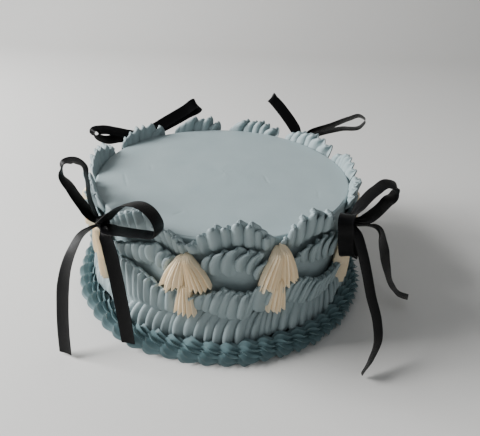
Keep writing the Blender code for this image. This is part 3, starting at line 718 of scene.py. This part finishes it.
def tassel_fan_skin(angle, shift, top, scale, spread, fan, seed):
    """One fan of ridges of a tassel, piped with a star tip.

    Across it u runs from -1 to 1 and picks the direction in which a line starts. Every line bends
    towards straight down in proportion to its length, and its place is the running sum of its
    direction. The front stands out by stand times a dome in u and the length, less a groove between
    the ridges, which end one by one. The ridges follow the mean of |sin| and 1 - |cos|.
    """
    beside, below, (left, right), length, ridges, stand = fan
    draw = np.random.default_rng(seed)
    steps, per_ridge = 36, 10
    share = np.linspace(0, 1, steps)[:, None]
    u = np.linspace(-1, 1, ridges * per_ridge + 1)
    ridge = np.clip((0.5 * (u + 1) * ridges).astype(int), 0, ridges - 1)
    turn = 0.5 * np.pi * ridges * (u + 1)
    fin = 0.5 * (np.abs(np.sin(turn)) + 1 - np.abs(np.cos(turn)))
    reach = 1 + RIDGE_LENGTHS * (draw.random(ridges) - 0.5)[ridge] - 0.08 * (1 - fin)
    wander = RIDGE_WANDER * (draw.random(ridges) - 0.5)[ridge]
    rounded = 0.1 + 0.8 * smooth_step(share / FAN_WIDENING) ** 0.6 + 0.1 * np.sin(np.pi * share)
    dome = (1 - u ** 2) ** 0.5 * rounded
    groove = GROOVE_DEPTH * (1 - fin ** 0.85) * (0.3 + 0.7 * share ** 0.6)
    thinnest, edge_thickness, back_depth = 0.3 * MM, 0.6 * MM, 1.5 * MM
    front = np.maximum(scale * stand * (0.2 + 0.8 * dome) - groove, thinnest)
    front = front * smooth_step((1 - share) / FAN_END) ** 0.5
    front = front * (0.3 + 0.7 * smooth_step(share / 0.08 + 0.15) ** 0.5) + edge_thickness
    # The back is a flat between the two sides.
    behind = np.linspace(1, -1, 6)[1:-1]
    u = np.concatenate([u, behind])
    reach = np.concatenate([reach, np.full(len(behind), 0.94)])
    wander = np.concatenate([wander, np.zeros(len(behind))])
    front = np.concatenate([front, np.full((steps, len(behind)), -back_depth)], axis=1)
    start = spread * (0.5 * (left + right) + 0.5 * (right - left) * u) + wander
    direction = np.radians(start * (1 - FAN_BEND * share))
    pace = scale * length * reach / steps
    start_width = FAN_START * (0.35 + 0.65 * smooth_step(share / FAN_WIDENING + 0.2) ** 0.5)
    across = shift + scale * (beside + start_width * u) + np.cumsum(np.sin(direction), axis=0) * pace
    down = scale * below + np.cumsum(np.cos(direction), axis=0) * pace
    return closed_skin(place(angle + np.degrees(across / TASSEL_BACK), TASSEL_BACK + front, top - down))


class CAKE_OT_tassels(bpy.types.Operator):
    """Pipe the ivory tassels where the panels meet."""
    bl_idname = "cake.tassels"
    bl_label = "Tassels"

    def execute(self, context):
        colours = context.scene.cake_colours
        ivory = buttercream("piped_ivory_buttercream", colours.ivory, colours.ivory_deep, roughness=0.5)
        tassels = zip(TASSEL_ANGLES, TASSEL_TOPS, TASSEL_SHIFTS, TASSEL_SIZES, TASSEL_SPREADS)
        for tassel, (angle, top, shift, scale, spread) in enumerate(tassels):
            seed = TASSEL_SEED + len(TASSEL_FANS) * tassel
            skins = [tassel_fan_skin(angle, shift * MM, top * MM, scale, spread, fan, seed + order)
                     for order, fan in enumerate(TASSEL_FANS)]
            number = f"{tassel + 1:02d}"
            make_piece(f"tassel_fans_{number}", skins, ivory, [f"tassel_{number}"],
                       sharp=SHARP_FINS)
        return {"FINISHED"}


# Each bow: where its knot sits (angle, radius, height), then its ribbons. A ribbon is a route of
# (out, along, up) steps in millimetres from the knot, read from the photo, then the direction of the
# ribbon's width at its start, half way and at its end. The tails of the back bows, which don't show, are
# guessed.
BOWS = {
    "bow_front_left": ((-47.6, 106 * MM, 82.3 * MM), {
        "left_loop": (
            [(-0.2, -1, 0), (2.4, -2.8, 2.1), (5, -10.3, 9.7), (6.8, -20.5, 18.3), (6.9, -30.4, 26),
             (3.5, -33.7, 30.6), (-2.5, -33.2, 31.3), (-5.4, -27.1, 29.1), (-3.2, -18.5, 23.8),
             (1.2, -8.4, 13.5), (-0.6, -2.1, -1.4)],
            [(-0.8, -0.58, 0.14), (-0.43, -0.9, 0.09), (-0.64, -0.58, -0.51)]),
        "right_loop": (
            [(0.4, 1.3, 0.6), (3.1, 13.1, 9.6), (2.4, 26.5, 21.9), (-1.1, 35.4, 28.7),
             (-4.3, 42.3, 29.9), (-6.8, 49.5, 27.3), (-8.2, 54.2, 21.2), (-8.5, 52, 12.7),
             (-4.6, 42.8, 10.1), (-0.7, 29.2, 6.5), (0.9, 13.6, 1.4), (-0.3, 1, -1.4)],
            [(0.98, -0.2, 0.09), (0.91, 0.39, 0.13), (0.78, 0.62, -0.06)]),
        "left_tail": (
            [(1.3, -1.2, -1.7), (5.3, -1, -1.6), (12.8, -1.1, -3.8), (20.6, 0.6, -10.6),
             (26.5, 1.7, -19.5), (31.7, 3.3, -32.1), (35.1, 4.6, -46.6), (38.4, 7.1, -62.6),
             (41.1, 10, -80.4)],
            [(0.15, 0.93, 0.32), (-0.39, 0.9, 0.19), (-0.39, 0.92, 0.06)]),
        "front_tail": (
            [(0.1, 1, -2), (2.3, 7.4, -1.8), (3.4, 13.1, -7.4), (4.3, 19.2, -21.5), (5.9, 26.1, -40),
             (6.8, 30.4, -56.1), (7.8, 34, -75.3)],
            [(-0.46, 0.37, 0.81), (-0.5, 0.43, 0.75), (-0.4, 0.52, 0.76)]),
    }),
    "bow_front_right": ((51.6, 107 * MM, 85.4 * MM), {
        "right_loop": (
            [(-0.6, 1, 2), (1.5, 6.1, 6.6), (3.1, 14.2, 11.4), (5.5, 23.3, 15.5), (9.5, 32, 18.4),
             (15, 36.5, 15.6), (15, 33.4, 11.4), (13.6, 24.6, 7.9), (11.4, 15.7, 3.9), (7.5, 5.6, 0.7),
             (0.1, 1.9, -0.5)],
            [(0.58, -0.8, -0.17), (0.5, -0.84, -0.2), (0.7, -0.7, -0.14)]),
        "left_loop": (
            [(-0.4, 0.4, 2.3), (1.5, -8, 8.4), (3.2, -14.6, 7), (4.6, -15.6, 1.6),
             (4.4, -11.6, -10.2), (5.3, -6.3, -22.4), (5.7, -2.3, -24.9), (4.4, -1.7, -15.2),
             (2.7, -1.5, -5.7), (0.2, 1.1, -0.9)],
            [(0.83, 0.53, 0), (0.83, 0.53, 0), (0.83, 0.53, 0)]),
        "near_tail": (
            [(1, 0.2, -0.9), (6.3, -2.9, -4.3), (13.7, -5.6, -14.6), (20.8, -8.4, -27.5),
             (28.6, -12.6, -41.7), (37.4, -17.4, -54.9), (42.2, -23.5, -64.1), (42.9, -31.7, -72.8),
             (41.9, -41.5, -79.2)],
            [(0.36, 0.89, -0.27), (0.36, 0.87, -0.33), (0.05, 1, -0.03)]),
        "far_tail": (
            [(0.2, 1, -2.4), (4, 5.8, -4.3), (9.3, 12.6, -6.5), (13.8, 21.4, -12.8),
             (17.4, 27.6, -26.9), (21.7, 36, -49.1), (27.6, 44.1, -69.2), (33.1, 47.3, -75.8),
             (39.4, 48.7, -76.2)],
            [(-0.25, 0.61, -0.75), (0.26, 0.96, 0.03), (-0.39, 0.9, -0.2)]),
    }),
    "bow_back_right": ((138.8, 109.6 * MM, 86 * MM), {
        "left_loop": (
            [(-1.8, -0.4, 0.7), (-1.2, 3.7, 3.4), (-0.6, 16.8, 15), (-0.3, 29.7, 24.9), (0.7, 38.6, 30),
             (4.4, 39.3, 27.7), (3.4, 26, 19.7), (0.5, 9.4, 8.3), (-1.8, 0.2, 0.5)],
            [(0.55, 0.45, 0.7), (0.79, 0.05, 0.6), (0.91, 0.03, 0.42)]),
        "right_loop": (
            [(0.5, 0, 1), (7.9, -7.7, 6.5), (15.5, -21.4, 14), (22, -34, 21.7), (25.9, -42.3, 25.3),
             (27, -47.3, 22.4), (24, -45.7, 17.6), (17.8, -29.7, 12.6), (9.9, -13.1, 6.1),
             (1, -0.9, 0.1)],
            [(0.75, -0.16, -0.64), (0.79, 0.26, -0.56), (0.64, 0.09, -0.76)]),
        "left_tail": (
            [(1, -1, -1.6), (7, 4, 0), (14, 8, -6), (19, 11, -22), (23, 13, -44), (26, 15, -68),
             (28, 17, -83)],
            [(0.3, 0.9, 0.2), (0.2, 0.95, 0.15), (0.1, 0.99, 0.1)]),
        "right_tail": (
            [(0, 1, -1.9), (6, -4, -1), (13, -8, -9), (17, -11, -28), (20, -14, -50), (23, -16, -68),
             (26, -17, -81)],
            [(0.3, -0.9, 0.2), (0.2, -0.95, 0.15), (0.1, -0.99, 0.1)]),
    }),
    "bow_back_left": ((-137, 109.6 * MM, 85.6 * MM), {
        "left_loop": (
            [(-0.8, 0.1, -0.1), (1.2, 9.4, 1.5), (5.9, 24, 6.7), (10, 34.7, 9.8), (10.9, 42.4, 9.4),
             (8.6, 43, 7), (5.9, 37, 2.3), (4.5, 24, 0.6), (2.4, 9.9, -0.7), (-1.8, -0.2, -1.8)],
            [(0.62, -0.28, 0.73), (0.85, -0.2, 0.45), (0.8, -0.25, 0.5)]),
        "right_loop": (
            [(-0.5, 0.9, 1), (-1, -8.8, 2.8), (-2.4, -26.3, 8.7), (-5.4, -44.5, 15.7),
             (-8.3, -56.4, 21), (-7.5, -58.9, 17.4), (-5.8, -45.3, 12.2), (-2, -19.5, 3.7),
             (-1.5, 0.6, -0.7)],
            [(0.72, 0.18, 0.67), (0.72, 0.18, 0.67), (0.72, 0.18, 0.67)]),
        "left_tail": (
            [(1, -1, -1.6), (6, 4, -1), (13, 8, -8), (17, 10, -26), (20, 12, -48), (23, 14, -68),
             (26, 15, -79)],
            [(0.3, 0.9, 0.2), (0.2, 0.95, 0.15), (0.1, 0.99, 0.1)]),
        "right_tail": (
            [(0, 1, -1.9), (7, -4, 0), (14, -8, -6), (18, -12, -22), (22, -14, -44), (25, -17, -66),
             (28, -18, -80)],
            [(0.3, -0.9, 0.2), (0.2, -0.95, 0.15), (0.1, -0.99, 0.1)]),
    }),
}
# The knot's size outwards, along the rim and upwards, how far out its middle lies from where its ribbons
# start, and the share of the ribbon's width that its map takes up.
KNOT_SIZE = (8.6 * MM, 6.6 * MM, 8 * MM)
KNOT_MIDDLE = -1.3 * MM
KNOT_MAP = 0.8
# The ribbons' width at the knot as a share of the full one, how far from the knot they are pinched, and
# the depth of the pleats there.
PINCHED_SHARE = 0.4
PINCH_REACH = 12 * MM
PLEAT_DEPTH = 0.7 * MM


def smooth_route(points, samples):
    """A smooth curve through points: cubic pieces whose slope at a point comes from its neighbours."""
    chord = np.concatenate([[0], np.cumsum(np.linalg.norm(np.diff(points, axis=0), axis=1))])
    slope = np.gradient(points, chord, axis=0)
    at = np.linspace(0, chord[-1], samples)
    piece = np.clip(np.searchsorted(chord, at, side="right") - 1, 0, len(chord) - 2)
    span = (chord[piece + 1] - chord[piece])[:, None]
    t = (at - chord[piece])[:, None] / span
    return (points[piece] * (2 * t ** 3 - 3 * t ** 2 + 1) + slope[piece] * span * (t ** 3 - 2 * t ** 2 + t)
            + points[piece + 1] * (3 * t ** 2 - 2 * t ** 3) + slope[piece + 1] * span * (t ** 3 - t ** 2))


def ribbon_skin(knot, route, width_directions, sizes):
    """A flat ribbon along its route: skin, UV of each point and length.

    Across the ribbon u runs from -1 to 1. A point is the route's point plus u times half the width
    along the width direction, made square to the way the ribbon runs, plus a slight cupping with u
    squared and, near the knot, pleats with the cosine of u. U of the map runs across, V counts widths
    along.
    """
    samples, columns, pleats_across, mean_cupping = 120, 15, 2.5, 0.33
    angle, radius, height = knot
    axes = np.array([place(angle, 1.0, 0.0), place(angle + 90, 1.0, 0.0), (0.0, 0.0, 1.0)])
    steps = smooth_route(np.array(route, float) * MM, samples)
    points = place(angle, radius, height) + steps @ axes
    lengths = np.concatenate([[0], np.cumsum(np.linalg.norm(np.diff(points, axis=0), axis=1))])
    runs = np.gradient(points, lengths, axis=0)
    runs /= np.linalg.norm(runs, axis=1, keepdims=True)
    spread = np.clip(np.linalg.norm(steps, axis=1) / PINCH_REACH, 0, 1)
    half = 0.5 * sizes.width * (PINCHED_SHARE + (1 - PINCHED_SHARE) * smooth_step(spread))
    share = lengths / lengths[-1]
    directions = np.array(width_directions) @ axes
    width = np.stack([np.interp(share, (0, 0.5, 1), directions[:, axis]) for axis in range(3)], axis=-1)
    width -= runs * np.einsum("ij,ij->i", width, runs)[:, None]
    width /= np.linalg.norm(width, axis=1, keepdims=True)
    through = np.cross(runs, width)
    u = np.linspace(-1, 1, columns)
    pleats = (1 - spread)[:, None] * PLEAT_DEPTH * np.cos(pleats_across * np.pi * u)
    off = sizes.cupping * (u ** 2 - mean_cupping) * smooth_step(spread)[:, None] + pleats
    centre = (points[:, None] + half[:, None, None] * u[None, :, None] * width[:, None]
              + off[..., None] * through[:, None])
    shift = 0.5 * sizes.thickness * through[:, None]
    loops = np.concatenate([centre - shift, (centre + shift)[:, ::-1]], axis=1)
    across = 0.5 * (1 + np.concatenate([u, u[::-1]]))
    run = (lengths / sizes.width)[:, None]
    uv = np.stack(np.broadcast_arrays(across[None], run), axis=-1).reshape(-1, 2)
    ends = np.array([[0.5, 0.0], [0.5, lengths[-1] / sizes.width]])
    return closed_skin(loops), np.concatenate([uv, ends]), lengths[-1]


def knot_skin(knot, sizes):
    """The turn of ribbon round the knot: a short barrel along the rim. Skin, UV and length.

    Along it runs from -0.5 to 0.5. The section's radii are powers of |cos| and |sin|, between an ellipse
    and a box, times 1 - narrowing * |2 along|^3 + the cosine of its wrinkles, and it sways along the rim
    with the sine of the angle round it.
    """
    angle, radius, height = knot
    deep, wide, tall = KNOT_SIZE
    steps, sides = 25, 48
    narrowing, wrinkle_depth, wrinkles, sway, power = 0.22, 0.045, 3.5, 0.12, 0.75
    along = np.linspace(-0.5, 0.5, steps)[:, None]
    around = np.linspace(0, 2 * np.pi, sides, endpoint=False)
    shape = 1 - narrowing * np.abs(2 * along) ** 3 + wrinkle_depth * np.cos(2 * np.pi * wrinkles * along)
    out = 0.5 * deep * np.sign(np.cos(around)) * np.abs(np.cos(around)) ** power * shape
    up = 0.5 * tall * np.sign(np.sin(around)) * np.abs(np.sin(around)) ** power * shape
    aside = along + sway * np.sin(around) * np.cos(np.pi * along)
    points = place(angle + np.degrees(aside * wide / radius), radius + KNOT_MIDDLE + out, height + up)
    across = np.broadcast_to(0.5 + KNOT_MAP * along, out.shape)
    run = np.broadcast_to(around * 0.5 * tall / sizes.width, out.shape)
    uv = np.stack([across, run], axis=-1).reshape(-1, 2)
    ends = [[0.5 - 0.5 * KNOT_MAP, 0.0], [0.5 + 0.5 * KNOT_MAP, 0.0]]
    return closed_skin(points), np.concatenate([uv, ends]), 0.5 * math.pi * (deep + tall)


class CAKE_OT_bows(bpy.types.Operator):
    """Tie the satin ribbon bows at the rim."""
    bl_idname = "cake.bows"
    bl_label = "Ribbon bows"

    def execute(self, context):
        sizes, colours = context.scene.cake_ribbon, context.scene.cake_colours
        satin = polyester_satin("black_polyester_satin", colours.ribbon, colours.ribbon_edge, sizes.width)
        for name, (knot, ribbons) in BOWS.items():
            made = [ribbon_skin(knot, route, directions, sizes) for route, directions in ribbons.values()]
            made.append(knot_skin(knot, sizes))
            piece = make_piece(f"{name}_ribbon", [skin for skin, _, _ in made], satin,
                               [name], uv=np.concatenate([uv for _, uv, _ in made]), sharp=SHARP_RIBBON)
        return {"FINISHED"}


# The studio, in metres. The paper is a level floor that curves up into a wall: how far it reaches to each
# side and to the front, where it starts to bend, the bend's radius, the wall's height, and how far it lies
# below the cake. Each lamp is a square area light: where it hangs, its side and its power in watts. The sky
# gives an even light.
PAPER_REACH = 3.0
BEND_START = 0.9
BEND_RADIUS = 0.5
PAPER_HEIGHT = 2.5
PAPER_BELOW = 0.2 * MM
LAMPS = {
    "window": ((-1.22, 0.05, 0.75), 0.7, 50.0),
    "fill": ((0.3, -1.6, 1.3), 1.4, 1.3),
}
LAMP_TARGET = (0, 0, 0.05)
SKY = (0.94, 0.97, 1.0, 1)
SKY_STRENGTH = 0.29

# The camera: the width of its sensor and its focal length in millimetres, its place, and the directions to
# its right, up and behind it, fitted to the cake in the photo.
SENSOR_WIDTH = 36
LENS = 34.45
CAMERA_PLACE = (0.0, -0.32539, 0.23809)
CAMERA_RIGHT = (0.99903, -0.02046, 0.0391)
CAMERA_UP = (-0.02326, 0.50885, 0.86054)
CAMERA_BACK = (-0.0375, -0.86061, 0.50788)


class CAKE_OT_stage(bpy.types.Operator):
    """Set up the pale floor, the soft studio light and the camera."""
    bl_idname = "cake.stage"
    bl_label = "Stage, light and camera"

    def execute(self, context):
        scene = context.scene
        bend_rows = 24
        turn = np.linspace(0, 0.5 * np.pi, bend_rows)
        wall = BEND_START + BEND_RADIUS
        depth = np.concatenate([[-PAPER_REACH], BEND_START + BEND_RADIUS * np.sin(turn), [wall]])
        height = np.concatenate([[0.0], BEND_RADIUS * (1 - np.cos(turn)), [PAPER_HEIGHT]]) - PAPER_BELOW
        sides = np.array([-PAPER_REACH, PAPER_REACH])
        points = np.stack(np.broadcast_arrays(sides[None], depth[:, None], height[:, None]), axis=-1)
        index = np.arange(points.size // 3).reshape(-1, 2)
        faces = np.stack([index[:-1, 0], index[:-1, 1], index[1:, 1], index[1:, 0]], axis=-1)
        mesh = bpy.data.meshes.new("studio_paper")
        mesh.from_pydata(points.reshape(-1, 3).tolist(), [], faces.tolist())
        mesh.shade_smooth()
        mesh.materials.append(studio_paper("matt_studio_paper", scene.cake_colours.floor))
        paper = bpy.data.objects.new("studio_paper", mesh)
        scene.collection.objects.link(paper)

        world = scene.world or bpy.data.worlds.new("studio")
        scene.world = world
        world.use_nodes = True
        sky = world.node_tree.nodes["Background"].inputs
        sky["Color"].default_value = SKY
        sky["Strength"].default_value = SKY_STRENGTH
        for name, (spot, size, power) in LAMPS.items():
            light = bpy.data.lights.new(name, "AREA")
            light.size = size
            light.energy = power
            lamp = bpy.data.objects.new(name, light)
            lamp.location = spot
            direction = Vector(LAMP_TARGET) - lamp.location
            lamp.rotation_euler = direction.to_track_quat("-Z", "Y").to_euler()
            scene.collection.objects.link(lamp)

        camera = bpy.data.cameras.new("camera")
        camera.sensor_width = SENSOR_WIDTH
        camera.lens = LENS
        eye = bpy.data.objects.new("camera", camera)
        columns = (CAMERA_RIGHT, CAMERA_UP, CAMERA_BACK, CAMERA_PLACE)
        eye.matrix_world = Matrix((*zip(*columns), (0, 0, 0, 1)))
        scene.collection.objects.link(eye)
        scene.camera = eye
        return {"FINISHED"}


class CAKE_PT_panel(bpy.types.Panel):
    """Lists the sizes, the colours and one button for each group of pieces."""
    bl_idname = "CAKE_PT_panel"
    bl_label = "Lambeth cake"
    bl_space_type = "VIEW_3D"
    bl_region_type = "UI"
    bl_category = "Lambeth cake"

    def draw(self, context):
        layout = self.layout
        for name in SETTINGS:
            group = getattr(context.scene, name)
            for setting in group.__annotations__:
                layout.prop(group, setting)
        for operator in OPERATORS:
            layout.operator(operator.bl_idname)


SETTINGS = {"cake_sizes": CakeSizes, "cake_ribbon": RibbonSizes, "cake_colours": CakeColours}
OPERATORS = (CAKE_OT_stage, CAKE_OT_icing, CAKE_OT_top_frills, CAKE_OT_second_frills, CAKE_OT_upper_swags,
             CAKE_OT_lower_swags, CAKE_OT_shells, CAKE_OT_tassels, CAKE_OT_bows)
CLASSES = (*SETTINGS.values(), *OPERATORS, CAKE_PT_panel)


def register():
    """Adds the settings, the operators and the panel to Blender."""
    for kind in CLASSES:
        bpy.utils.register_class(kind)
    for name, group in SETTINGS.items():
        setattr(bpy.types.Scene, name, bpy.props.PointerProperty(type=group))


def unregister():
    """Takes them out again."""
    for name in SETTINGS:
        delattr(bpy.types.Scene, name)
    for kind in reversed(CLASSES):
        bpy.utils.unregister_class(kind)


def main():
    """Builds the stage and every piece in order."""
    register()
    bpy.ops.cake.stage()
    bpy.ops.cake.icing()
    bpy.ops.cake.top_frills()
    bpy.ops.cake.second_frills()
    bpy.ops.cake.upper_swags()
    bpy.ops.cake.lower_swags()
    bpy.ops.cake.shells()
    bpy.ops.cake.tassels()
    bpy.ops.cake.bows()


if __name__ == "__main__":
    main()
